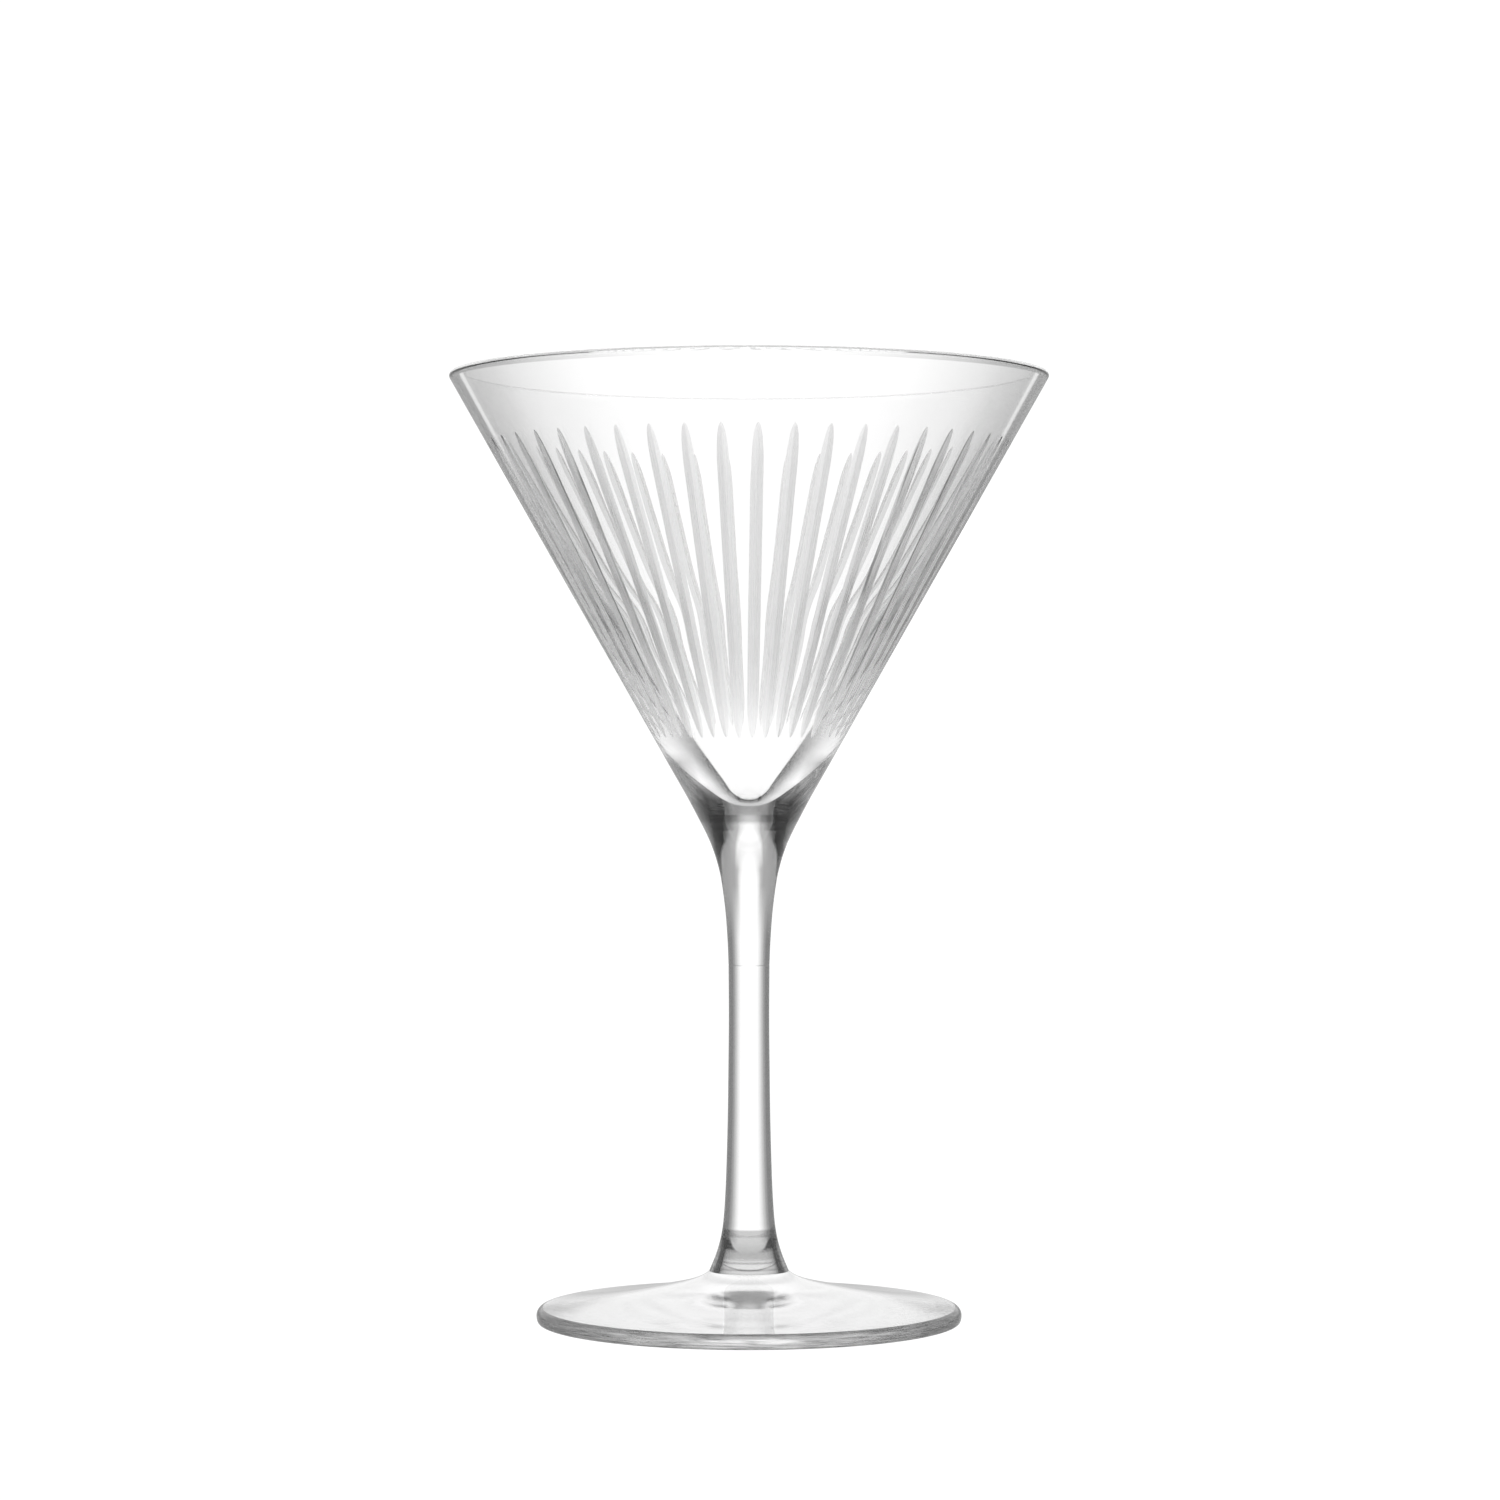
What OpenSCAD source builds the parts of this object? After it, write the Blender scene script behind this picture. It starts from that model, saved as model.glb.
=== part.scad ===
// Stemmed martini glass: a cone bowl with a ring of long V-shaped cuts, a
// slender two-piece stem and a low domed foot. All four pieces are clear
// glass, fused end to end on flat planes across the axis.
// Millimetres, +Z up, origin on the table at the centre of the foot.

/* [Bowl] */
// Outer diameter across the lip
rim_d = 110; // [100:1:120]
// Height of the bowl piece, from its fused joint to the lip
bowl_h = 81; // [76:1:88]
// Thickness of the glass just under the lip
rim_wall = 1.45; // [1.1:0.05:1.8]
// Solid glass between the fused joint and the lowest point of the cavity
floor_t = 3.4; // [2.5:0.1:4.5]

/* [Cut flutes] */
// Number of V-shaped cuts round the bowl
flute_count = 47; // [30:1:47]
// Depth of a cut at its middle
flute_depth = 0.46; // [0.25:0.02:0.5]
// Width of a cut divided by its depth
flute_spread = 5.2; // [3.5:0.1:5.4]
// Height from the tops of the cuts up to the lip
flute_drop = 12.6; // [9:0.2:20]
// Height of the cuts' lower tips above the bowl's fused joint
flute_rise = 14; // [13:0.2:20]
// Turn of the first cut from the front, in degrees
flute_turn = 1.9; // [0:0.1:6]

/* [Stem] */
// Diameter at the slimmest part of the stem
stem_d = 7.4; // [6.6:0.1:9]
// Height of the upper stem, which flares up into the bowl
neck_h = 27.7; // [24:0.5:36]
// Height of the lower stem, which flares down onto the foot
stem_h = 56.1; // [45:0.5:70]
// Depth of the hairline round the stem where its two pieces are fused
seam_groove = 0.05; // [0.02:0.01:0.1]

/* [Foot] */
// Outer diameter of the foot
foot_d = 78; // [72:1:90]
// Height of the foot at its centre, where the stem stands on it
foot_h = 9.2; // [8.8:0.1:10.5]
// Thickness of the foot at its rounded edge
edge_h = 2.7; // [2:0.1:3.4]
// Depth of the shallow hollow under the foot
hollow_h = 0.5; // [0.3:0.1:1]

/* [Hidden] */
$fn = 96;
glass = [0.93, 0.95, 0.96, 0.45];

rim_r = rim_d / 2;
stem_r = stem_d / 2;
foot_r = foot_d / 2;
seam_z = foot_h + stem_h;
fuse_z = seam_z + neck_h;
height = fuse_z + bowl_h;
seam_r = stem_r + 0.07;
fuse_r = stem_r + 5.95;

// Smooth curve through a list of points, n short steps to each span.
function tang(p, i) = i == 0 ? p[1] - p[0]
    : i == len(p) - 1 ? p[i] - p[i - 1]
    : (p[i + 1] - p[i - 1]) / 2;
function on_curve(p, i, t) =
    (2 * pow(t, 3) - 3 * pow(t, 2) + 1) * p[i]
    + (pow(t, 3) - 2 * pow(t, 2) + t) * tang(p, i)
    + (3 * pow(t, 2) - 2 * pow(t, 3)) * p[i + 1]
    + (pow(t, 3) - pow(t, 2)) * tang(p, i + 1);
function smooth(p, n) = concat(
    [for (i = [0 : len(p) - 2]) for (j = [0 : n - 1]) on_curve(p, i, j / n)],
    [p[len(p) - 1]]);
function lerp(a, b, t) = a + (b - a) * t;

// ---- bowl outline --------------------------------------------------------
// Rounded lip: a half round between the two wall surfaces.
lip_a = rim_wall / 2;
lip_c = [rim_r - lip_a, height - lip_a];
// The straight outer wall starts 11 mm above the joint.
wall_foot = [15.8, fuse_z + 11];
wall_angle = atan((rim_r - 0.1 - wall_foot[0]) / (height - 1.1 - wall_foot[1]));
wall_top = lip_c + lip_a * [cos(wall_angle), -sin(wall_angle)];
// Cove between the joint and the straight wall, [radius, height].
bowl_cove = [[fuse_r, fuse_z], [fuse_r + 1.6, fuse_z + 3],
    [fuse_r + 3.3, fuse_z + 6], [wall_foot[0] - 1.13, fuse_z + 9], wall_foot];
// Cavity, from its rounded tip on the axis up to the lip. Near the lip its
// wall runs parallel to the outside; lower down the glass thickens.
tip_z = fuse_z + floor_t;
function wall_r(z) = lerp(wall_foot[0], wall_top[0],
    (z - wall_foot[1]) / (wall_top[1] - wall_foot[1]));
full = rim_wall / cos(wall_angle);
// [height above the joint, glass beyond the rim's own thickness]
thicker = [[32.5, 3.2], [41, 1.6], [50, 0.72], [60, 0.2], [70, 0.01]];
cavity = concat([[0, tip_z], [1.8, tip_z + 0.4], [3.2, tip_z + 1.5],
    [4.9, tip_z + 3.5], [8.3, tip_z + 7.8], [12.2, tip_z + 13.2],
    [17.2, tip_z + 20.4]],
    [for (t = thicker) [wall_r(fuse_z + t[0]) - full - t[1], fuse_z + t[0]]],
    [lip_c - lip_a * [cos(wall_angle), -sin(wall_angle)]]);

function lip(n) = [for (i = [1 : n - 1])
    let (a = -wall_angle + i * 180 / n)
    lip_c + lip_a * [cos(a), sin(a)]];
function reversed(p) = [for (i = [len(p) - 1 : -1 : 0]) p[i]];

// ---- cut flutes ----------------------------------------------------------
flute_lo = fuse_z + flute_rise;
flute_hi = height - flute_drop;
// Stations down one cut: [height, share of the full depth]. The cutting
// wheel bites quickly and leaves a pointed tip at each end.
stations = [[flute_lo, -0.05], [flute_lo + 1.2, 0.45], [flute_lo + 3.5, 0.79],
    [flute_lo + 8, 0.93], [flute_hi - 9, 1], [flute_hi - 4, 0.84],
    [flute_hi - 1.2, 0.5], [flute_hi, -0.05]];
proud = 0.12;

// Corner c (0 valley, 1 and 2 the outer edges) of the cutter at station s.
function cutter_point(s, c) =
    let (d = s[1] * flute_depth,
        out = c == 0 ? -d : proud,
        side = c == 0 ? 0 : (c == 1 ? 1 : -1) * (d + proud) * flute_spread / 2)
    [wall_r(s[0]) + out * cos(wall_angle), side, s[0] - out * sin(wall_angle)];

module cutter() {
    n = len(stations);
    polyhedron(
        points = [for (s = stations) for (c = [0 : 2]) cutter_point(s, c)],
        faces = concat([[2, 1, 0]],
            [for (i = [0 : n - 2]) for (c = [0 : 2])
                let (a = 3 * i + c, b = 3 * i + (c + 1) % 3)
                [a, b, b + 3, a + 3]],
            [[3 * n - 3, 3 * n - 2, 3 * n - 1]]),
        convexity = 4);
}

module bowl() {
    color(glass) difference() {
        rotate_extrude() polygon(concat([[0, fuse_z]],
            smooth(bowl_cove, 4), [wall_top], lip(9),
            reversed(smooth(cavity, 4))));
        for (i = [0 : flute_count - 1])
            rotate([0, 0, -90 + flute_turn + i * 360 / flute_count]) cutter();
    }
}

// ---- stem ----------------------------------------------------------------
// Flares as [share of the piece's height, radius beyond the slimmest part].
neck_flare = [[0.165, 0.25], [0.365, 0.66], [0.56, 1.38], [0.665, 2.02],
    [0.76, 2.84], [0.86, 3.98]];
base_flare = [[0, 3.6], [0.05, 2.45], [0.1, 1.6], [0.16, 1.03], [0.25, 0.66],
    [0.36, 0.42], [0.5, 0.22], [0.66, 0.1], [0.83, 0.02]];

module upper_stem() {
    color(glass) rotate_extrude() polygon(concat(
        [[0, seam_z], [seam_r - seam_groove, seam_z]],
        smooth(concat([[seam_r, seam_z + 0.18]],
            [for (f = neck_flare) [stem_r + f[1], seam_z + f[0] * neck_h]],
            [[fuse_r, fuse_z]]), 4),
        [[0, fuse_z]]));
}

module lower_stem() {
    color(glass) rotate_extrude() polygon(concat(
        [[0, foot_h]],
        smooth(concat(
            [for (f = base_flare) [stem_r + f[1], foot_h + f[0] * stem_h]],
            [[seam_r, seam_z - 0.18]]), 3),
        [[seam_r - seam_groove, seam_z], [0, seam_z]]));
}

// ---- foot ----------------------------------------------------------------
// The upper side is a shallow cone with a cove where it meets the stem.
pad_r = stem_r + 3.6;
cove_h = 1.1;
cove_l = 1.8;
corner = 1.4;
top_r = foot_r - corner;
function foot_z(r) = let (u = (top_r - r) / (top_r - pad_r))
    edge_h + (foot_h - cove_h - edge_h) * (0.62 * u + 0.38 * u * u)
    + cove_h * exp(-(r - pad_r) / cove_l);
// Edge: a broad round above and a tight one below.
edge_mid = 0.46 * edge_h;
function edge_round(n) = concat(
    [for (i = [1 : n]) let (a = 84 - 84 * i / n)
        [top_r + corner * cos(a), edge_mid + (edge_h - edge_mid) * sin(a)]],
    [for (i = [1 : n]) let (a = -90 * i / n)
        [foot_r - 0.45 + 0.45 * cos(a), edge_mid + edge_mid * sin(a)]]);
rest_in = 0.87 * foot_r;

module foot() {
    color(glass) rotate_extrude() polygon(concat(
        [[0, foot_h]],
        [for (i = [0 : 22]) let (r = pad_r + (top_r - pad_r) * pow(i / 22, 1.6))
            [r, i == 0 ? foot_h : foot_z(r)]],
        edge_round(6),
        [for (i = [0 : 10]) let (r = rest_in * (1 - i / 10))
            [r, hollow_h * (1 - pow(r / rest_in, 2))]]));
}

bowl();
upper_stem();
lower_stem();
foot();
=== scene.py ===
import math

import bpy
import numpy as np
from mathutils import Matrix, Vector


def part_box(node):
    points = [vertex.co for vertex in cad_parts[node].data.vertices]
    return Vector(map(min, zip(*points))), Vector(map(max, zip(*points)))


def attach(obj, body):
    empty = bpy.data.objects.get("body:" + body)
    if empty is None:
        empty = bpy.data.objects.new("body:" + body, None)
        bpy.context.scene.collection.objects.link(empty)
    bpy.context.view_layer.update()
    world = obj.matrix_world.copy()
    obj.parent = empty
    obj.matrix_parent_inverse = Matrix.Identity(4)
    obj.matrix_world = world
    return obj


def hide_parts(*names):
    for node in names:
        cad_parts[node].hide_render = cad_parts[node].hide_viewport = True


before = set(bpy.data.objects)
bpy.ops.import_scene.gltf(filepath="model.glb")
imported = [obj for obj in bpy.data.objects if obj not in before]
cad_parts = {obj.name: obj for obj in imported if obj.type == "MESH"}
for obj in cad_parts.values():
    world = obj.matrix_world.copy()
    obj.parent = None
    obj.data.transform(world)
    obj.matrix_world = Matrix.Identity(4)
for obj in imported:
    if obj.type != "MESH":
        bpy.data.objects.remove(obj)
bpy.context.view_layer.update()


# ------------------------------------------------------------------ layout
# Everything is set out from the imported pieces' own boxes, in metres.
MM = 0.001
bowl_lo, bowl_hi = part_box("bowl")
foot_lo, foot_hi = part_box("foot")
low_lo, low_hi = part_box("lower_stem")
HEIGHT = bowl_hi.z                       # lip
FUSE_Z = bowl_lo.z                       # bowl to upper stem
SEAM_Z = low_hi.z                        # upper stem to lower stem
FOOT_Z = foot_hi.z                       # lower stem to foot
RIM_R = (bowl_hi.x - bowl_lo.x + bowl_hi.y - bowl_lo.y) / 4
FOOT_R = (foot_hi.x - foot_lo.x + foot_hi.y - foot_lo.y) / 4
STEM_R = 3.7 * MM
SEAM_R = STEM_R + 0.07 * MM
FUSE_R = STEM_R + 5.95 * MM
RIM_WALL = 1.45 * MM
FLOOR_T = 3.4 * MM

FLUTES = 47
FLUTE_DEPTH = 0.46 * MM
FLUTE_SPREAD = 5.2
FLUTE_LO = FUSE_Z + 14 * MM
FLUTE_HI = HEIGHT - 12.6 * MM
FLUTE_TURN = math.radians(-90 + 1.9)


# ------------------------------------------------------------------ curves
def smooth(points, n):
    """Points of a smooth curve through the points given, n steps a span."""
    p = [np.array(q, float) for q in points]

    def tang(i):
        if i == 0:
            return p[1] - p[0]
        if i == len(p) - 1:
            return p[i] - p[i - 1]
        return (p[i + 1] - p[i - 1]) / 2

    out = []
    for i in range(len(p) - 1):
        for j in range(n):
            t = j / n
            out.append((2 * t ** 3 - 3 * t ** 2 + 1) * p[i] + (t ** 3 - 2 * t ** 2 + t) * tang(i)
                       + (3 * t ** 2 - 2 * t ** 3) * p[i + 1] + (t ** 3 - t ** 2) * tang(i + 1))
    out.append(p[-1])
    return out


def even(points, step):
    """The same curve with points about step apart along it."""
    p = np.array(points)
    d = np.r_[0, np.cumsum(np.hypot(*(p[1:] - p[:-1]).T))]
    n = max(2, int(round(d[-1] / step)))
    t = np.linspace(0, d[-1], n + 1)
    return [np.array([np.interp(v, d, p[:, 0]), np.interp(v, d, p[:, 1])]) for v in t]


def lerp(a, b, t):
    return a + (b - a) * t


# ------------------------------------------------------------------ meshes
def build(name, verts, faces, mats, mat_index=None, sharp=None):
    """A mesh object from lists. sharp is a set of vertex pairs whose edge is crisp."""
    me = bpy.data.meshes.new(name)
    me.from_pydata([tuple(v) for v in verts], [], faces)
    for m in mats:
        me.materials.append(m)
    me.polygons.foreach_set("use_smooth", [True] * len(me.polygons))
    if mat_index is not None:
        me.polygons.foreach_set("material_index", mat_index)
    if sharp:
        flags = []
        for e in me.edges:
            a, b = e.vertices
            flags.append((min(a, b), max(a, b)) in sharp)
        attr = me.attributes.get("sharp_edge") or me.attributes.new("sharp_edge", "BOOLEAN", "EDGE")
        attr.data.foreach_set("value", flags)
    me.update()
    ob = bpy.data.objects.new(name, me)
    bpy.context.scene.collection.objects.link(ob)
    return ob


def revolve(name, profile, columns, mats, mat_of_span, sharp_rows=()):
    """A closed solid from a profile of (radius, z), bottom centre first, round
    the outside and back to the axis. The first and last points are on the axis."""
    ang = np.linspace(0, 2 * math.pi, columns, endpoint=False)
    co, si = np.cos(ang), np.sin(ang)
    verts, rows = [], []
    for r, z in profile:
        if r < 1e-9:
            rows.append([len(verts)])
            verts.append((0.0, 0.0, z))
        else:
            rows.append(list(range(len(verts), len(verts) + columns)))
            verts.extend(zip(r * co, r * si, [z] * columns))
    faces, mi, sharp = [], [], set()
    for k in range(len(rows) - 1):
        a, b = rows[k], rows[k + 1]
        for j in range(columns):
            jn = (j + 1) % columns
            if len(a) == 1:
                f = (a[0], b[jn], b[j])
            elif len(b) == 1:
                f = (a[j], a[jn], b[0])
            else:
                f = (a[j], a[jn], b[jn], b[j])
            faces.append(f)
            mi.append(mat_of_span(k))
    for k in sharp_rows:
        row = rows[k]
        for j in range(columns):
            a, b = row[j], row[(j + 1) % columns]
            sharp.add((min(a, b), max(a, b)))
    return build(name, verts, faces, mats, mi, sharp)


# --------------------------------------------------------------- materials
def nodes_of(mat):
    mat.use_nodes = True
    nt = mat.node_tree
    nt.nodes.clear()
    return nt, nt.nodes, nt.links


def new(nt, kind, **props):
    n = nt.nodes.new(kind)
    for k, v in props.items():
        setattr(n, k, v)
    return n


def math_node(nt, op, a, b=None, clamp=False):
    n = new(nt, "ShaderNodeMath", operation=op, use_clamp=clamp)
    for i, v in enumerate((a, b)):
        if v is None:
            continue
        if hasattr(v, "links"):
            nt.links.new(v, n.inputs[i])
        else:
            n.inputs[i].default_value = v
    return n.outputs[0]


def noise(nt, vec, scale, detail=2.0, rough=0.5, distortion=0.0):
    n = new(nt, "ShaderNodeTexNoise")
    n.inputs["Scale"].default_value = scale
    n.inputs["Detail"].default_value = detail
    n.inputs["Roughness"].default_value = rough
    n.inputs["Distortion"].default_value = distortion
    nt.links.new(vec, n.inputs["Vector"])
    return n.outputs["Fac"]


def remap(nt, v, a, b, c, d):
    n = new(nt, "ShaderNodeMapRange")
    nt.links.new(v, n.inputs["Value"])
    for k, x in zip(("From Min", "From Max", "To Min", "To Max"), (a, b, c, d)):
        n.inputs[k].default_value = x
    return n.outputs["Result"]


def mapped(nt, vec, scale):
    n = new(nt, "ShaderNodeMapping")
    n.inputs["Scale"].default_value = scale
    nt.links.new(vec, n.inputs["Vector"])
    return n.outputs["Vector"]


def ramp(nt, fac, stops):
    n = new(nt, "ShaderNodeValToRGB")
    cr = n.color_ramp
    cr.interpolation = "LINEAR"
    while len(cr.elements) > 1:
        cr.elements.remove(cr.elements[-1])
    cr.elements[0].position = stops[0][0]
    cr.elements[0].color = (*[stops[0][1]] * 3, 1)
    for p, v in stops[1:]:
        e = cr.elements.new(p)
        e.color = (v, v, v, 1)
    nt.links.new(fac, n.inputs["Fac"])
    return n.outputs["Color"]


def facing_shade(nt, stops):
    """Painted shade: glass darkened by the angle it is seen at, standing in for the darker surroundings it refracts.
    Tuned, not derived.
    """
    lw = new(nt, "ShaderNodeLayerWeight")
    lw.inputs["Blend"].default_value = 0.5
    return ramp(nt, lw.outputs["Facing"], [(p, v * v) for p, v in stops])


def mix_color(nt, fac, a, b):
    n = new(nt, "ShaderNodeMix", data_type="RGBA")
    nt.links.new(fac, n.inputs["Factor"])
    for sock, v in ((n.inputs[6], a), (n.inputs[7], b)):
        if hasattr(v, "links"):
            nt.links.new(v, sock)
        else:
            sock.default_value = (v, v, v, 1)
    return n.outputs[2]


def height_bands(nt, z, stops):
    """Painted shade in bands up the piece: a factor that changes with height; stops are (height in mm, factor)."""
    lo, hi = stops[0][0] * MM, stops[-1][0] * MM
    f = remap(nt, z, lo, hi, 0.0, 1.0)
    return ramp(nt, f, [((h * MM - lo) / (hi - lo), v * v) for h, v in stops])


def clear_glass(name, edges, ripple=0.02, ripple_scale=(60, 60, 12),
                haze=(0.0, 0.018), bands=None, streaks=None, inner_dark=None, dark_heights=None,
                unbent=0.0):
    """Polished soda-lime glass: faint tooling ripples and a trace of haze, with painted shade. edges is a list of
    (height in mm, stops): how the painted shade darkens it edge-on at that height; bands paint darker bands up it,
    inner_dark paints dark into slanted inner faces."""
    mat = bpy.data.materials.new(name)
    nt, nodes, links = nodes_of(mat)
    out = new(nt, "ShaderNodeOutputMaterial")
    bsdf = new(nt, "ShaderNodeBsdfPrincipled")
    bsdf.inputs["IOR"].default_value = 1.52
    bsdf.inputs["Transmission Weight"].default_value = 1.0
    tc = new(nt, "ShaderNodeTexCoord")
    sep = new(nt, "ShaderNodeSeparateXYZ")
    links.new(tc.outputs["Object"], sep.inputs[0])
    p = mapped(nt, tc.outputs["Object"], ripple_scale)
    n1 = noise(nt, p, 1.0, 3.0, 0.55)
    if ripple:
        bump = new(nt, "ShaderNodeBump")
        bump.inputs["Strength"].default_value = ripple
        bump.inputs["Distance"].default_value = 0.001
        links.new(n1, bump.inputs["Height"])
        links.new(bump.outputs["Normal"], bsdf.inputs["Normal"])
    smudge = noise(nt, tc.outputs["Object"], 90.0, 4.0, 0.6)
    rough = remap(nt, smudge, 0.45, 0.75, haze[0], haze[1])
    links.new(rough, bsdf.inputs["Roughness"])
    col = facing_shade(nt, edges[0][1])
    for (below, _), (above, stops) in zip(edges, edges[1:]):
        f = remap(nt, sep.outputs["Z"], below * MM, above * MM, 0.0, 1.0)
        col = mix_color(nt, f, col, facing_shade(nt, stops))
    if bands:
        col = times(nt, col, height_bands(nt, sep.outputs["Z"], bands))
    if streaks:
        # drawn out round the piece, close together up it
        scale_round, scale_up, low, high = streaks
        ang = math_node(nt, "ARCTAN2", sep.outputs["Y"], sep.outputs["X"])
        comb = new(nt, "ShaderNodeCombineXYZ")
        links.new(math_node(nt, "MULTIPLY", ang, scale_round), comb.inputs["X"])
        links.new(math_node(nt, "MULTIPLY", sep.outputs["Z"], scale_up), comb.inputs["Y"])
        s = noise(nt, comb.outputs[0], 1.0, 3.0, 0.6)
        col = times(nt, col, remap(nt, s, 0.35, 0.65, low, high))
    geo = new(nt, "ShaderNodeNewGeometry")
    col = mix_color(nt, geo.outputs["Backfacing"], col, 1.0)
    links.new(col, bsdf.inputs["Base Color"])
    if not inner_dark and not unbent:
        links.new(bsdf.outputs["BSDF"], out.inputs["Surface"])
        return mat
    if unbent:
        # A stand-in: fully refracted, the lip draws too dark a line, so a given share of it is plain see-through.
        through = new(nt, "ShaderNodeBsdfTransparent")
        mix = new(nt, "ShaderNodeMixShader")
        mix.inputs[0].default_value = unbent
        links.new(bsdf.outputs["BSDF"], mix.inputs[1])
        links.new(through.outputs["BSDF"], mix.inputs[2])
        links.new(mix.outputs["Shader"], out.inputs["Surface"])
        return mat
    # A stand-in and painted shade: total internal reflection can't be tinted in Principled, so a dark shader is mixed
    # in on inner faces seen at a slant, at given heights, for the darkness those faces mirror.
    lw = new(nt, "ShaderNodeLayerWeight")
    lw.inputs["Blend"].default_value = 0.5
    fac = ramp(nt, lw.outputs["Facing"], inner_dark)
    fac = math_node(nt, "MULTIPLY", fac, geo.outputs["Backfacing"])
    if dark_heights:
        lo, hi = dark_heights[0][0] * MM, dark_heights[-1][0] * MM
        up = remap(nt, sep.outputs["Z"], lo, hi, 0.0, 1.0)
        fac = math_node(nt, "MULTIPLY", fac, ramp(nt, up, [((h * MM - lo) / (hi - lo), v) for h, v in dark_heights]))
    # painted speckle in the painted dark
    dark_speckle = remap(nt, noise(nt, tc.outputs["Object"], 2600.0, 2.0, 0.6), 0.35, 0.65, 0.8, 1.0)
    fac = math_node(nt, "MULTIPLY", fac, dark_speckle)
    dark = new(nt, "ShaderNodeBsdfPrincipled")
    dark.inputs["Base Color"].default_value = (0.006, 0.006, 0.006, 1)
    dark.inputs["Roughness"].default_value = 0.5
    dark.inputs["Specular IOR Level"].default_value = 0.0
    mix = new(nt, "ShaderNodeMixShader")
    links.new(fac, mix.inputs[0])
    links.new(bsdf.outputs["BSDF"], mix.inputs[1])
    links.new(dark.outputs["BSDF"], mix.inputs[2])
    links.new(mix.outputs[0], out.inputs["Surface"])
    return mat


def times(nt, a, b):
    n = new(nt, "ShaderNodeMix", data_type="RGBA", blend_type="MULTIPLY")
    n.inputs["Factor"].default_value = 1.0
    nt.links.new(a, n.inputs[6])
    nt.links.new(b, n.inputs[7])
    return n.outputs[2]


def satin_cut(name, stops):
    """The wheel-cut faces of the flutes: matt, with fine marks along the cut. Their grey is painted shade, set by the
    angle they are seen at, with painted dark glints.
    """
    mat = bpy.data.materials.new(name)
    nt, nodes, links = nodes_of(mat)
    out = new(nt, "ShaderNodeOutputMaterial")
    bsdf = new(nt, "ShaderNodeBsdfPrincipled")
    bsdf.inputs["IOR"].default_value = 1.52
    bsdf.inputs["Transmission Weight"].default_value = 1.0
    tc = new(nt, "ShaderNodeTexCoord")
    sep = new(nt, "ShaderNodeSeparateXYZ")
    links.new(tc.outputs["Object"], sep.inputs[0])
    ang = math_node(nt, "ARCTAN2", sep.outputs["Y"], sep.outputs["X"])
    around = math_node(nt, "MULTIPLY", ang, FLUTES * 6.0)
    along = math_node(nt, "MULTIPLY", sep.outputs["Z"], 45.0)
    comb = new(nt, "ShaderNodeCombineXYZ")
    links.new(around, comb.inputs["X"])
    links.new(along, comb.inputs["Y"])
    lines = noise(nt, comb.outputs[0], 1.6, 4.0, 0.65, 0.2)
    bump = new(nt, "ShaderNodeBump")
    bump.inputs["Strength"].default_value = 0.35
    bump.inputs["Distance"].default_value = 0.0002
    links.new(lines, bump.inputs["Height"])
    links.new(bump.outputs["Normal"], bsdf.inputs["Normal"])
    rough = remap(nt, lines, 0.25, 0.75, 0.2, 0.4)
    links.new(rough, bsdf.inputs["Roughness"])
    cut_shade = facing_shade(nt, stops)
    # painted dark reflections: short dark glints down the cuts that are turned well away
    turned = new(nt, "ShaderNodeLayerWeight")
    turned.inputs["Blend"].default_value = 0.5
    window = ramp(nt, turned.outputs["Facing"], [(0.0, 0.0), (0.5, 0.0), (0.62, 0.9), (0.86, 0.9), (1.0, 0.0)])
    comb2 = new(nt, "ShaderNodeCombineXYZ")
    links.new(math_node(nt, "MULTIPLY", ang, FLUTES * 0.7), comb2.inputs["X"])
    links.new(math_node(nt, "MULTIPLY", sep.outputs["Z"], 70.0), comb2.inputs["Y"])
    painted_glint = remap(nt, noise(nt, comb2.outputs[0], 1.0, 2.0, 0.5), 0.5, 0.62, 0.0, 1.0)
    cut_shade = mix_color(nt, math_node(nt, "MULTIPLY", window, painted_glint), cut_shade, 0.004)
    # the painted shade fades out toward the cuts' lower ends
    fade = remap(nt, sep.outputs["Z"], FLUTE_LO, FLUTE_LO + 15 * MM, 0.3, 1.0)
    cut_shade = mix_color(nt, fade, 1.0, cut_shade)
    streak = remap(nt, lines, 0.3, 0.7, 0.9, 1.06)
    mul = new(nt, "ShaderNodeMix", data_type="RGBA", blend_type="MULTIPLY")
    mul.inputs["Factor"].default_value = 1.0
    links.new(cut_shade, mul.inputs[6])
    links.new(streak, mul.inputs[7])
    links.new(mul.outputs[2], bsdf.inputs["Base Color"])
    links.new(bsdf.outputs["BSDF"], out.inputs["Surface"])
    return mat


def joined(name):
    """Inside faces where two fused pieces meet: the glass runs straight through."""
    mat = bpy.data.materials.new(name)
    nt, nodes, links = nodes_of(mat)
    out = new(nt, "ShaderNodeOutputMaterial")
    tr = new(nt, "ShaderNodeBsdfTransparent")
    tc = new(nt, "ShaderNodeTexCoord")
    v = noise(nt, tc.outputs["Object"], 400.0, 2.0)
    col = ramp(nt, v, [(0.0, 0.995), (1.0, 1.0)])
    links.new(col, tr.inputs["Color"])
    links.new(tr.outputs["BSDF"], out.inputs["Surface"])
    return mat


# Painted shade: the stop lists below darken the glass by the angle it is seen at, standing in for the darker
# surroundings it refracts; PAST_CRITICAL, NECK_MIRROR and BASE_MIRROR set how much dark shader is painted into
# slanted inner faces, and the bands given to the materials below paint darker bands at set heights.
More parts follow.
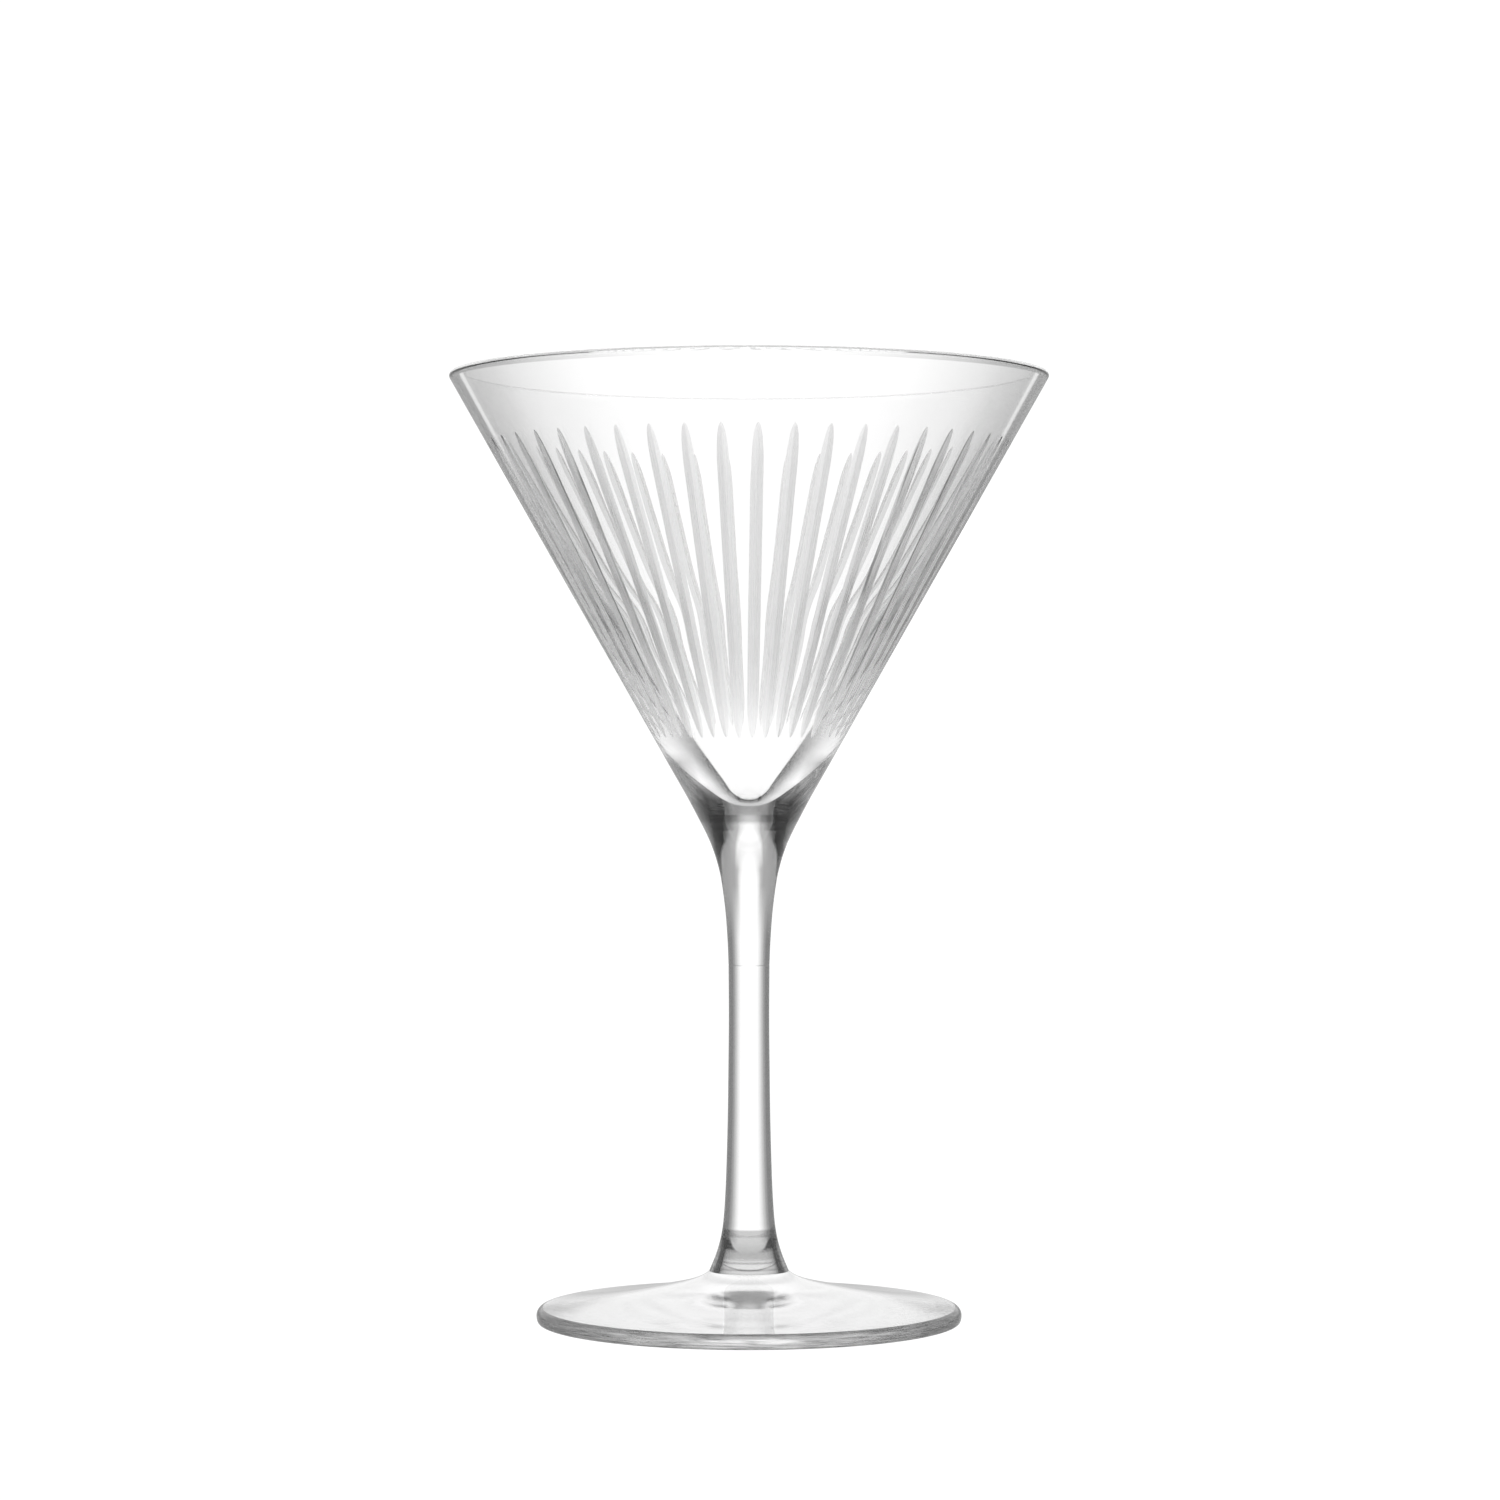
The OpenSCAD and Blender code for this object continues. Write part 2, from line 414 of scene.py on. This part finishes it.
STEM_EDGE = [(0.0, 1.0), (0.07, 1.0), (0.134, 0.8), (0.2, 0.56), (0.286, 0.34), (0.4, 0.2), (0.6, 0.17), (1.0, 0.17)]
NECK_LOW = [(0.0, 1.0), (0.055, 1.0), (0.085, 0.75), (0.11, 0.5), (0.16, 0.38), (0.4, 0.34), (1.0, 0.34)]
NECK_HIGH = [(0.0, 1.0), (0.118, 1.0), (0.13, 0.8), (0.145, 0.5), (0.22, 0.36), (0.34, 0.28), (0.44, 0.4), (0.6, 0.55), (1.0, 0.6)]
BOWL_LOW = [(0.0, 1.0), (0.13, 0.95), (0.3, 0.7), (0.4, 0.45), (0.5, 0.42), (0.62, 0.6), (1.0, 0.6)]
BOWL_HIGH = [(0.0, 1.0), (0.179, 1.0), (0.246, 0.95), (0.326, 0.87), (0.44, 0.76), (0.518, 0.66), (0.6, 0.6),
             (0.68, 0.55), (0.71, 0.6), (0.728, 0.92), (0.745, 0.95), (0.765, 0.4), (0.82, 0.34), (0.9, 0.5), (1.0, 0.55)]
BOWL_MID = [(0.0, 1.0), (0.36, 1.0), (0.42, 0.8), (0.54, 0.55), (0.72, 0.45), (1.0, 0.5)]
BOWL_LIGHT = [(0.0, 1.0), (0.7, 1.0), (0.9, 0.85), (1.0, 0.6)]
LIP_LINE = [(0.0, 1.0), (0.1, 0.97), (0.14, 0.92), (0.2, 0.82), (0.3, 0.68), (0.44, 0.48), (0.6, 0.4), (0.75, 0.42),
            (1.0, 0.6)]
BOWL_INSIDE = [(0.0, 1.0), (0.5, 1.0), (0.8, 0.9), (0.95, 0.7), (1.0, 0.6)]
CUT_SHADE_STOPS = [(0.0, 0.74), (0.13, 0.76), (0.19, 0.84), (0.45, 0.88), (0.62, 0.66), (0.74, 0.4), (0.82, 0.14), (0.94, 0.1), (1.0, 0.3)]
FOOT_TOP = [(0.0, 1.0), (0.55, 1.0), (0.66, 0.99), (0.72, 0.94), (0.8, 0.92), (0.9, 0.97), (1.0, 1.0)]
FOOT_RIM = [(0.0, 1.0), (0.015, 0.95), (0.026, 0.68), (0.05, 0.6), (0.105, 0.51), (0.19, 0.42), (0.3, 0.32),
            (0.47, 0.25), (0.7, 0.22), (1.0, 0.2)]
STEM_BASE = [(0.0, 0.85), (0.1, 0.8), (0.2, 0.66), (0.3, 0.4), (0.36, 0.06), (0.55, 0.05), (0.66, 0.3), (1.0, 0.3)]
PAST_CRITICAL = [(0.0, 0.0), (0.24, 0.0), (0.25, 0.9), (0.31, 0.7), (0.4, 0.36), (0.5, 0.14), (0.62, 0.0)]
NECK_MIRROR = [(0.0, 0.0), (0.24, 0.0), (0.26, 0.98), (0.32, 0.95), (0.37, 0.4), (0.45, 0.1), (0.6, 0.0)]
BASE_MIRROR = [(0.0, 0.0), (0.175, 0.0), (0.19, 0.97), (0.27, 0.97), (0.32, 0.5), (0.5, 0.0)]
BOWL_GLASS = clear_glass("bowl_clear", [(94, BOWL_LOW), (97, BOWL_LOW), (99, BOWL_MID), (102.5, BOWL_MID), (104.5, BOWL_LIGHT),
                                        (111, BOWL_LIGHT), (121, BOWL_HIGH),
                                        (172.4, BOWL_HIGH), (172.55, LIP_LINE), (174, LIP_LINE)], 0.012, (40, 40, 14),
                         bands=[(93, 0.55), (95, 0.6), (96.5, 1.0), (100, 1.0)],
                         inner_dark=NECK_MIRROR, dark_heights=[(93, 1.0), (100, 0.8), (106, 0.0)])
INSIDE_GLASS = clear_glass("bowl_inside_clear", [(0, BOWL_INSIDE)], 0.012, (40, 40, 14),
                           inner_dark=PAST_CRITICAL, dark_heights=[(96, 1.0), (104, 1.0), (114, 0.42), (140, 0.42), (160, 0.3), (170, 0.25)])
LIP_GLASS = clear_glass("bowl_lip_clear", [(0, [(0.0, 1.0), (0.6, 1.0), (1.0, 0.8)])], 0.012, (40, 40, 14),
                        unbent=0.7)
CUT_GLASS = satin_cut("bowl_cut_satin_and_shade", CUT_SHADE_STOPS)
STEM_GLASS = clear_glass("stem_clear", [(70, STEM_EDGE), (80, NECK_LOW), (83, NECK_LOW), (89, NECK_HIGH)], 0.03, (120, 120, 10),
                         bands=[(0.0, 1.0), (91.3, 1.0), (91.8, 0.6), (93.0, 0.55)],
                         inner_dark=NECK_MIRROR, dark_heights=[(70, 0.0), (82, 0.3), (88, 1.0), (93, 1.0)])
BASE_GLASS = clear_glass("stem_base_clear", [(13.5, STEM_BASE), (16.5, STEM_EDGE)], 0.03, (120, 120, 60),
                         bands=[(9.2, 0.65), (9.7, 0.8), (10.0, 0.5), (10.35, 0.85), (10.9, 0.85), (11.2, 0.55), (11.5, 0.88),
                                (12.9, 0.74), (14.8, 0.86), (15.6, 0.8), (15.9, 0.55), (16.9, 0.55), (17.3, 1.0), (18, 1.0)],
                         inner_dark=BASE_MIRROR, dark_heights=[(9.2, 0.0), (10.6, 0.0), (11.8, 1.0), (13.5, 1.0), (14.6, 0.0)])
FOOT_GLASS = clear_glass("foot_clear", [(0, FOOT_TOP)], 0.0, (60, 60, 60), streaks=(4.0, 1500.0, 0.95, 1.02))
RIM_GLASS = clear_glass("foot_rim_clear", [(0, FOOT_RIM)], 0.03, (60, 60, 900), streaks=(6.0, 3600.0, 0.22, 1.5))
UNDER_GLASS = clear_glass("foot_underside", [(0, [(0.0, 0.97), (1.0, 0.97)])], 0.0, (60, 60, 60), (0.12, 0.17))
JOIN = joined("fused_joint")

# ------------------------------------------------------------------- bowl
lip_a = RIM_WALL / 2
lip_c = np.array([RIM_R - lip_a, HEIGHT - lip_a])
wall_foot = np.array([15.8 * MM, FUSE_Z + 11 * MM])
WALL = math.atan((RIM_R - 0.1 * MM - wall_foot[0]) / (HEIGHT - 1.1 * MM - wall_foot[1]))
wall_top = lip_c + lip_a * np.array([math.cos(WALL), -math.sin(WALL)])
bowl_cove = [(FUSE_R, FUSE_Z), (FUSE_R + 1.6 * MM, FUSE_Z + 3 * MM),
             (FUSE_R + 3.3 * MM, FUSE_Z + 6 * MM),
             (wall_foot[0] - 1.13 * MM, FUSE_Z + 9 * MM), tuple(wall_foot)]


def wall_r(z):
    return wall_foot[0] + (wall_top[0] - wall_foot[0]) * (z - wall_foot[1]) / (wall_top[1] - wall_foot[1])


TIP_Z = FUSE_Z + FLOOR_T
FULL = RIM_WALL / math.cos(WALL)
cavity = [(0, TIP_Z)] + [(r * MM, TIP_Z + z * MM) for r, z in
                         ((1.8, 0.4), (3.2, 1.5), (4.9, 3.5), (8.3, 7.8), (12.2, 13.2), (17.2, 20.4))]
cavity += [(wall_r(FUSE_Z + h * MM) - FULL - t * MM, FUSE_Z + h * MM)
           for h, t in ((32.5, 3.2), (41, 1.6), (50, 0.72), (60, 0.2), (70, 0.01))]
cavity.append(tuple(lip_c - lip_a * np.array([math.cos(WALL), -math.sin(WALL)])))


# Depth of a cut near its two ends, against distance from the tip in mm.
UP_U = [0, 0.15, 0.4, 0.8, 1.3, 2.0, 3.1, 5.0, 7.0, 9.0]
UP_D = [0, 0.16, 0.29, 0.42, 0.53, 0.64, 0.76, 0.88, 0.95, 1.0]
LO_U = [0, 0.15, 0.4, 0.8, 1.3, 2.0, 3.5, 5.0, 8.0]
LO_D = [0, 0.14, 0.26, 0.38, 0.48, 0.60, 0.79, 0.88, 0.93]


def flute_d(z):
    if z <= FLUTE_LO or z >= FLUTE_HI:
        return 0.0
    up = np.interp((FLUTE_HI - z) / MM, UP_U, UP_D)
    lo = np.interp((z - FLUTE_LO) / MM, LO_U, LO_D)
    mid = lerp(0.93, 1.0, min(1.0, max(0.0, (z - FLUTE_LO) / (FLUTE_HI - FLUTE_LO))))
    return FLUTE_DEPTH * min(up, lo, mid)


# Rows down the outside, as (radius, z), from the joint up to the lip.
outer = even(smooth(bowl_cove, 12), 0.9 * MM)
zs = [wall_foot[1] + 1.0 * MM, wall_foot[1] + 2.0 * MM]
zs += [FLUTE_LO + u * MM for u in (0, 0.15, 0.4, 0.8, 1.3, 2.0, 2.8, 3.8, 5.0, 6.5, 8.0)]
zs += list(np.linspace(FLUTE_LO + 11 * MM, FLUTE_HI - 12 * MM, 9))
zs += [FLUTE_HI - u * MM for u in (9.0, 7.0, 5.6, 4.4, 3.4, 2.6, 2.0, 1.5, 1.05, 0.7, 0.4, 0.2, 0.08, 0)]
zs += list(np.linspace(FLUTE_HI + 1.5 * MM, wall_top[1] - 0.4 * MM, 6))
zs = [z for z in zs if z > wall_foot[1]]
outer += [np.array([wall_r(z), z]) for z in zs]
outer.append(wall_top)
lip = []
for i in range(1, 16):
    a = -WALL + i * math.pi / 16
    lip.append(lip_c + lip_a * np.array([math.cos(a), math.sin(a)]))
inner = even(smooth(cavity, 16), 1.5 * MM)[::-1]
# finer rows round the cavity's tip
tip = even([p for p in smooth(cavity, 16) if p[1] < TIP_Z + 5 * MM], 0.4 * MM)[::-1]
inner = [p for p in inner if p[1] > tip[0][1] + 0.5 * MM] + tip

PITCH = 2 * math.pi / FLUTES
NF, NL = 2, 7                                # columns on a cut's face, and on the land
PER = 2 * NF + NL
COLS = PER * FLUTES
cosw, sinw = math.cos(WALL), math.sin(WALL)


def column_shape(z, r):
    """(angle from the cut's centre, inward push) of one pitch's columns at height z."""
    d = flute_d(z)
    out = []
    if d > 0:
        m = FLUTE_SPREAD / 2
        k = cosw / r
        y = (-1 + math.sqrt(1 + 2 * m * m * k * d)) / (m * k)
    else:
        y = 0.0
    edge = math.asin(min(1.0, y / r))
    for j in range(-NF, NF + 1):
        f = abs(j) / NF
        out.append((math.copysign(edge * f, j) if j else 0.0, d * (1 - f)))
    for j in range(1, NL):
        out.append((edge + (PITCH - 2 * edge) * j / NL, 0.0))
    return out, d


def bowl_mesh():
    verts, faces, mi = [], [], []
    sharp = set()
    rows, cutrow = [], []

    def ring(r, z, outside):
        cut = outside and FLUTE_LO <= z <= FLUTE_HI
        shape, depth = column_shape(z if cut else -1.0, r)
        ids, seen = [], {}
        for i in range(FLUTES):
            base = FLUTE_TURN + i * PITCH
            for a, push in shape:
                key = (i, round(a, 7))
                if key in seen and push == 0:
                    ids.append(seen[key])
                    continue
                # faces of a cut are flat, so its inner columns lie on a chord
                rr, zz = r - push * cosw, z + push * sinw
                seen[key] = len(verts)
                ids.append(len(verts))
                verts.append((rr * math.cos(base + a), rr * math.sin(base + a), zz))
        return ids, (depth if cut else 0.0)

    profile = [(p[0], p[1], True) for p in outer] + [(p[0], p[1], False) for p in lip] \
        + [(p[0], p[1], False) for p in inner]
    bottom = len(verts)
    verts.append((0, 0, FUSE_Z))
    cap_rows = []
    for f in (0.35, 0.7):
        cap_rows.append(ring(FUSE_R * f, FUSE_Z, False)[0])
    for r, z, outside in profile:
        if r < 1e-7:
            rows.append([len(verts)] * COLS)
            cutrow.append(0.0)
            verts.append((0, 0, z))
            continue
        ids, d = ring(r, z, outside)
        rows.append(ids)
        cutrow.append(d)

    def face(ids, m):
        f = []
        for v in ids:
            if v not in f:
                f.append(v)
        if len(f) >= 3:
            faces.append(f)
            mi.append(m)

    first_lip = len(outer) + 2
    first_inside = len(outer) + len(lip)
    a, b = cap_rows
    for j in range(COLS):
        jn = (j + 1) % COLS
        face((bottom, a[jn], a[j]), 2)
        face((a[j], a[jn], b[jn], b[j]), 2)
        face((b[j], b[jn], rows[0][jn], rows[0][j]), 2)
    for k in range(len(rows) - 1):
        p, q = rows[k], rows[k + 1]
        cut = cutrow[k] > 0 or cutrow[k + 1] > 0
        for j in range(COLS):
            jn = (j + 1) % COLS
            m = 1 if cut and (j % PER) < 2 * NF else (3 if k >= first_inside else (4 if k >= first_lip else 0))
            face((p[j], p[jn], q[jn], q[j]), m)
        if cut:
            for i in range(FLUTES):
                for c in (0, NF, 2 * NF):
                    j = i * PER + c
                    if p[j] != q[j]:
                        sharp.add((min(p[j], q[j]), max(p[j], q[j])))
    for j in range(COLS):                       # crisp edge of the fused face
        x, y = rows[0][j], rows[0][(j + 1) % COLS]
        if x != y:
            sharp.add((min(x, y), max(x, y)))
    return build("bowl_glass_body", verts, faces, [BOWL_GLASS, CUT_GLASS, JOIN, INSIDE_GLASS, LIP_GLASS], mi, sharp)


bowl = bowl_mesh()

# ------------------------------------------------------------------- stem
NECK_H = FUSE_Z - SEAM_Z
STEM_H = SEAM_Z - FOOT_Z
neck_flare = ((0.165, 0.25), (0.365, 0.66), (0.56, 1.38), (0.665, 2.02), (0.76, 2.84), (0.86, 3.98))
base_flare = ((0, 3.6), (0.05, 2.45), (0.1, 1.6), (0.16, 1.03), (0.25, 0.66), (0.36, 0.42),
              (0.5, 0.22), (0.66, 0.1), (0.83, 0.02))
GROOVE = 0.05 * MM


def with_caps(side, low_z, high_z, low_r, high_r):
    """Profile with flat faces at both ends and the number of the first and last side rows."""
    low = [(0, low_z), (low_r * 0.5, low_z)]
    high = [(high_r * 0.5, high_z), (0, high_z)]
    body = [tuple(p) for p in side]
    return low + body + high, len(low), len(low) + len(body) - 1


side = [(SEAM_R - GROOVE, SEAM_Z), (SEAM_R - 0.3 * GROOVE, SEAM_Z + 0.07 * MM)] + [
    tuple(p) for p in even(smooth([(SEAM_R, SEAM_Z + 0.18 * MM)]
                                  + [(STEM_R + e * MM, SEAM_Z + f * NECK_H) for f, e in neck_flare]
                                  + [(FUSE_R, FUSE_Z)], 12), 0.5 * MM)]
prof, s0, s1 = with_caps(side, SEAM_Z, FUSE_Z, SEAM_R, FUSE_R)
upper = revolve("upper_stem_glass", prof, 160, [STEM_GLASS, JOIN],
                lambda k, a=s0, b=s1: 0 if a <= k < b else 1, (s0, s1))

side = [tuple(p) for p in even(smooth([(STEM_R + e * MM, FOOT_Z + f * STEM_H) for f, e in base_flare]
                                      + [(SEAM_R, SEAM_Z - 0.18 * MM)], 12), 0.5 * MM)] \
    + [(SEAM_R - 0.3 * GROOVE, SEAM_Z - 0.07 * MM), (SEAM_R - GROOVE, SEAM_Z)]
prof, s0, s1 = with_caps(side, FOOT_Z, SEAM_Z, STEM_R + 3.6 * MM, SEAM_R)
lower = revolve("lower_stem_glass", prof, 160, [STEM_GLASS, JOIN, BASE_GLASS],
                lambda k, a=s0, b=s1: (2 if prof[k + 1][1] < 0.018 else 0) if a <= k < b else 1, (s0, s1))

# ------------------------------------------------------------------- foot
HOLLOW = 0.5 * MM
REST_IN = 0.87 * FOOT_R
PAD_R = STEM_R + 3.6 * MM
EDGE = 2.7 * MM                       # height of the rounded edge
CORNER = 1.4 * MM                     # how far in the top corner's rounding starts
COVE_H, COVE_L = 1.1 * MM, 1.8 * MM
TOP_R = FOOT_R - CORNER


def foot_z(r):
    u = (TOP_R - r) / (TOP_R - PAD_R)
    return EDGE + (FOOT_Z - COVE_H - EDGE) * (0.62 * u + 0.38 * u * u) \
        + COVE_H * math.exp(-(r - PAD_R) / COVE_L)


top = [(PAD_R, FOOT_Z)]
for i in range(1, 91):
    r = PAD_R + (TOP_R - PAD_R) * (i / 90) ** 1.5
    top.append((r, foot_z(r)))
MID = 0.46 * EDGE
for i in range(1, 17):
    a = math.radians(84 - 84 * i / 16)
    top.append((TOP_R + CORNER * math.cos(a), MID + (EDGE - MID) * math.sin(a)))
for i in range(1, 17):
    a = math.radians(-90 * i / 16)
    top.append((FOOT_R - 0.45 * MM + 0.45 * MM * math.cos(a), MID + MID * math.sin(a)))
under = []
for i in range(0, 41):
    r = REST_IN * (1 - i / 40)
    under.append((r if i < 40 else 0.0, HOLLOW * (1 - (r / REST_IN) ** 2)))
# bottom centre first, out under the foot, up round the edge and in over the top
under = under[::-1]
prof = [tuple(p) for p in under]
n_under = len(prof)
prof += [tuple(p) for p in top[::-1]]
n_pad = len(prof) - 1
prof += [(PAD_R * 0.98, FOOT_Z), (PAD_R * 0.5, FOOT_Z), (0, FOOT_Z)]
foot = revolve("foot_glass_disc", prof, 224, [FOOT_GLASS, JOIN, UNDER_GLASS, RIM_GLASS],
               lambda k, a=n_pad, b=n_under: 1 if k >= a + 1 else (2 if k < b else (3 if k < b + 31 else 0)),
               (n_under - 1,))

for piece, node, slot in ((bowl, "bowl", "bowl_glass"), (upper, "upper_stem", "stem_glass"),
                          (lower, "lower_stem", "stem_glass"), (foot, "foot", "foot_glass")):
    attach(piece, "root")
    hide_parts(node)

# ------------------------------------------------------------------ studio
scene = bpy.context.scene
scene.view_settings.view_transform = "Standard"
scene.view_settings.look = "None"
scene.cycles.max_bounces = 28
scene.cycles.transmission_bounces = 28
scene.cycles.glossy_bounces = 16
scene.cycles.diffuse_bounces = 3
scene.cycles.transparent_max_bounces = 40
scene.cycles.caustics_reflective = True
scene.cycles.caustics_refractive = True
scene.cycles.blur_glossy = 0.3

# Floor: a plain pale disc under the glass, a little shaded where the foot stands.
fr = 3.0
n = 96
fv = [(0, 0, -0.00005)] + [(fr * math.cos(2 * math.pi * i / n), fr * math.sin(2 * math.pi * i / n), -0.00005)
                         for i in range(n)]
ff = [(0, 1 + i, 1 + (i + 1) % n) for i in range(n)]
floor_mat = bpy.data.materials.new("studio_floor")
nt, nodes, links = nodes_of(floor_mat)
out = new(nt, "ShaderNodeOutputMaterial")
em = new(nt, "ShaderNodeEmission")
tc = new(nt, "ShaderNodeTexCoord")
ln = new(nt, "ShaderNodeVectorMath", operation="LENGTH")
links.new(tc.outputs["Object"], ln.inputs[0])
shade = ramp(nt, math_node(nt, "DIVIDE", ln.outputs["Value"], 0.1),
             [(0.0, 0.74), (0.28, 0.76), (0.345, 0.84), (0.38, 1.0), (1.0, 1.0)])
# soft shade under the foot; mirrored rays see a dimmer floor
path = new(nt, "ShaderNodeLightPath")
links.new(mix_color(nt, path.outputs["Is Reflection Ray"], shade, 0.5), em.inputs["Color"])
em.inputs["Strength"].default_value = 1.08
links.new(em.outputs[0], out.inputs["Surface"])
floor = build("studio_floor", fv, ff, [floor_mat])

# World: soft white all round at eye level, grey above, one soft light overhead.
world = bpy.data.worlds.new("studio")
scene.world = world
world.use_nodes = True
nt = world.node_tree
nt.nodes.clear()
out = new(nt, "ShaderNodeOutputWorld")
bg = new(nt, "ShaderNodeBackground")
tc = new(nt, "ShaderNodeTexCoord")
sep = new(nt, "ShaderNodeSeparateXYZ")
nt.links.new(tc.outputs["Generated"], sep.inputs[0])
elev = math_node(nt, "ARCSINE", sep.outputs["Z"])
u = remap(nt, elev, -math.pi / 2, math.pi / 2, 0.0, 1.0)


def at(deg):
    return (deg + 90) / 180


sky = ramp(nt, u, [(0.0, 1.0), (at(40), 1.0), (at(46), 0.3), (at(62), 0.3), (at(72), 0.9), (1.0, 1.0)])
light = new(nt, "ShaderNodeLightPath")
# A lighting cheat: mirrored rays see a darker room than refracted ones, and the
# camera sees plain white. It is the same all round the glass.
room = new(nt, "ShaderNodeMix", data_type="RGBA")
nt.links.new(light.outputs["Is Reflection Ray"], room.inputs["Factor"])
nt.links.new(sky, room.inputs[6])
nt.links.new(ramp(nt, u, [(0.0, 0.42), (at(1), 0.42), (at(8), 0.85), (1.0, 0.85)]), room.inputs[7])
mix = new(nt, "ShaderNodeMix", data_type="RGBA")
nt.links.new(light.outputs["Is Camera Ray"], mix.inputs["Factor"])
nt.links.new(room.outputs[2], mix.inputs[6])
mix.inputs[7].default_value = (1, 1, 1, 1)
nt.links.new(mix.outputs[2], bg.inputs["Color"])
bg.inputs["Strength"].default_value = 1.08
nt.links.new(bg.outputs[0], out.inputs["Surface"])

# Camera: level, at the height where the lip is seen from below and the foot
# from above, square on to the glass.
cam_data = bpy.data.cameras.new("camera")
cam_data.sensor_width = 36.0
CAM_D = 0.780
CAM_F = 300.06 * math.sqrt(CAM_D ** 2 - RIM_R ** 2) / RIM_R      # focal length in picture widths of 1500
cam_data.lens = 36.0 * CAM_F / 1500
cam_data.clip_start = 0.01
cam_data.clip_end = 50
cam = bpy.data.objects.new("camera", cam_data)
cam.location = (0.00018, -CAM_D, 0.1048)
cam.rotation_euler = (math.pi / 2, 0, 0)
scene.collection.objects.link(cam)
scene.camera = cam
